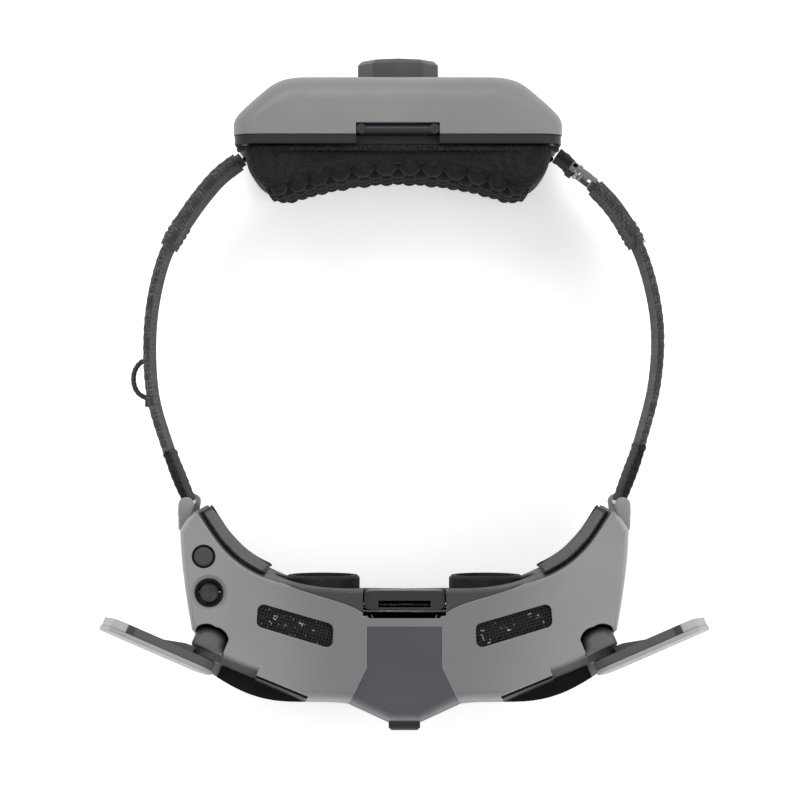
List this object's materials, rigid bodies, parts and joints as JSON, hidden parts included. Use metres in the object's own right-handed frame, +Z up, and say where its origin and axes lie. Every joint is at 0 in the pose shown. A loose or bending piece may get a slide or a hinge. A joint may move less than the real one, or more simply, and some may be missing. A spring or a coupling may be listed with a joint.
{
  "type": "video goggles",
  "caption": "Goggles with folding side antennas, sliding eyepieces and a headband that carries a dial-adjusted battery pack.",
  "frame": {"origin": "on the resting plane under the visor, midway between nose tip and dial and on the visor's middle plane", "axes": "+Z up, +X to the wearer's left, -Y forwards (nose), +Y to the rear (battery pack)"},
  "size_m": [0.234, 0.2606, 0.0794],
  "materials": {
    "light_shell": "fine satin texture, light neutral grey",
    "dark_shell": "fine matt texture, dark grey",
    "black_liner": "deep matt black",
    "grille_black": "smoked semi-gloss window",
    "vent_mesh": "black coated perforated mesh",
    "mid_plastic": "moulded mid grey",
    "rubber_black": "soft matt black",
    "steel": "turned and brushed",
    "aluminium": "milled fins",
    "board": "green solder mask",
    "copper": "etched copper on a thin laminate",
    "lens_glass": "polished optical surface",
    "display_glass": "glossy dark panel",
    "strap_fabric": "woven elastic webbing",
    "sleeve_fabric": "padded knitted fabric",
    "pad_fabric": "soft knitted foam cover",
    "cushion_fabric": "quilted waffle fabric",
    "cell_wrap": "heat-shrink wrap",
    "knob_plastic": "faceted satin dark grey",
    "light_plastic": "satin light grey",
    "led_smoke": "smoked translucent"
  },
  "bodies": {
    "visor": {"top_shell": "light_shell", "bottom_shell": "light_shell", "nose_panel": "dark_shell", "nose_grille": "grille_black", "rear_cover": "dark_shell", "face_pads": "pad_fabric", "vent_meshes": "vent_mesh", "front_strap_bar": "mid_plastic", "joystick_bezel": "black_liner", "main_board": "board", "heat_sink": "aluminium", "fan_frame": "mid_plastic", "optics_frame": "black_liner", "ipd_rails": "steel", "hinge_barrels": "mid_plastic", "antenna_trays": "black_liner", "strap_lugs": "mid_plastic", "strap_pins": "steel", "audio_jack": "steel", "usb_port": "steel", "shell_screws": "steel"},
    "back_key": {"back_button": "light_plastic"},
    "stick_base": {"joystick_plunger": "light_plastic"},
    "stick_ring": {"joystick_gimbal": "steel"},
    "stick": {"joystick_cap": "rubber_black"},
    "optic_left": {"eyepiece_left": "mid_plastic", "lens_left": "lens_glass", "display_left": "display_glass"},
    "optic_right": {"eyepiece_right": "mid_plastic", "lens_right": "lens_glass", "display_right": "display_glass"},
    "fan": {"fan_rotor": "knob_plastic"},
    "antenna_left": {"antenna_cover_left": "light_shell", "antenna_back_left": "dark_shell", "antenna_element_left": "copper", "hinge_pin_left": "steel"},
    "antenna_right": {"antenna_cover_right": "light_shell", "antenna_back_right": "dark_shell", "antenna_element_right": "copper", "hinge_pin_right": "steel"},
    "pack": {"strap_band_left": "strap_fabric", "strap_band_right": "strap_fabric", "strap_sleeve_left": "sleeve_fabric", "strap_sleeve_right": "sleeve_fabric", "cord_loop": "strap_fabric", "clip_tab": "strap_fabric", "clip_hook": "steel", "pack_rear_shell": "light_shell", "pack_front_frame": "black_liner", "pack_cushion": "cushion_fabric", "battery_cells": "cell_wrap", "battery_board": "board", "rear_strap_bar": "mid_plastic", "led_window": "led_smoke", "pack_usb_port": "steel"},
    "knob": {"adjust_knob": "knob_plastic", "pinion_shaft": "steel"},
    "rack_left": {"rack_left": "light_plastic"},
    "rack_right": {"rack_right": "light_plastic"},
    "power_key": {"power_button": "knob_plastic"}
  },
  "joints": [
    {"name": "antenna_left_fold", "type": "hinge", "parent": "visor", "child": "antenna_left", "pos_m": [0.0784, -0.1046, 0.058], "axis": [0.3769, -0.9098, 0.1736], "range_deg": [-17, 163]},
    {"name": "antenna_right_fold", "type": "hinge", "parent": "visor", "child": "antenna_right", "pos_m": [-0.0784, -0.1046, 0.058], "axis": [0.3769, 0.9098, -0.1736], "range_deg": [-17, 163]},
    {"name": "back_button_press", "type": "slide", "parent": "visor", "child": "back_key", "axis": [0, 0, -1], "range_m": [0, 0.0006], "stiffness_N_per_m": 800},
    {"name": "joystick_press", "type": "slide", "parent": "visor", "child": "stick_base", "axis": [0, 0, -1], "range_m": [0, 0.0006], "stiffness_N_per_m": 800},
    {"name": "joystick_tilt_x", "type": "hinge", "parent": "stick_base", "child": "stick_ring", "pos_m": [-0.0742, -0.0756, 0.0696], "axis": [1, 0, 0], "range_deg": [-5, 5]},
    {"name": "joystick_tilt_y", "type": "hinge", "parent": "stick_ring", "child": "stick", "pos_m": [-0.0742, -0.0756, 0.0696], "axis": [0, 1, 0], "range_deg": [-5, 5]},
    {"name": "ipd_left", "type": "slide", "parent": "visor", "child": "optic_left", "axis": [1, 0, 0], "range_m": [-0.004, 0.004]},
    {"name": "ipd_right", "type": "slide", "parent": "visor", "child": "optic_right", "axis": [-1, 0, 0], "range_m": [-0.004, 0.004]},
    {"name": "fan_spin", "type": "hinge", "parent": "visor", "child": "fan", "pos_m": [0, -0.11, 0.032], "axis": [0, 1, 0], "continuous": true},
    {"name": "pack_slide", "type": "slide", "parent": "visor", "child": "pack", "axis": [0, 1, 0], "range_m": [-0.00705, 0.00705], "deforming": ["strap_band_left", "strap_band_right", "strap_sleeve_left", "strap_sleeve_right"]},
    {"name": "knob_turn", "type": "hinge", "parent": "pack", "child": "knob", "pos_m": [-0.0025, 0.126, 0.034], "axis": [0, 1, 0], "range_deg": [-90, 90]},
    {"name": "rack_left_slide", "type": "slide", "parent": "pack", "child": "rack_left", "axis": [1, 0, 0], "range_m": [-0.0076, 0.0076]},
    {"name": "rack_right_slide", "type": "slide", "parent": "pack", "child": "rack_right", "axis": [-1, 0, 0], "range_m": [-0.0076, 0.0076]},
    {"name": "power_button_press", "type": "slide", "parent": "pack", "child": "power_key", "axis": [0, -1, 0], "range_m": [0, 0.0008], "stiffness_N_per_m": 800}
  ],
  "couplings": [
    {"joint": "knob_turn", "follows": "pack_slide", "rad_per_m": 222.2},
    {"joint": "rack_left_slide", "follows": "pack_slide", "ratio": 1.0667},
    {"joint": "rack_right_slide", "follows": "pack_slide", "ratio": 1.0667}
  ]
}
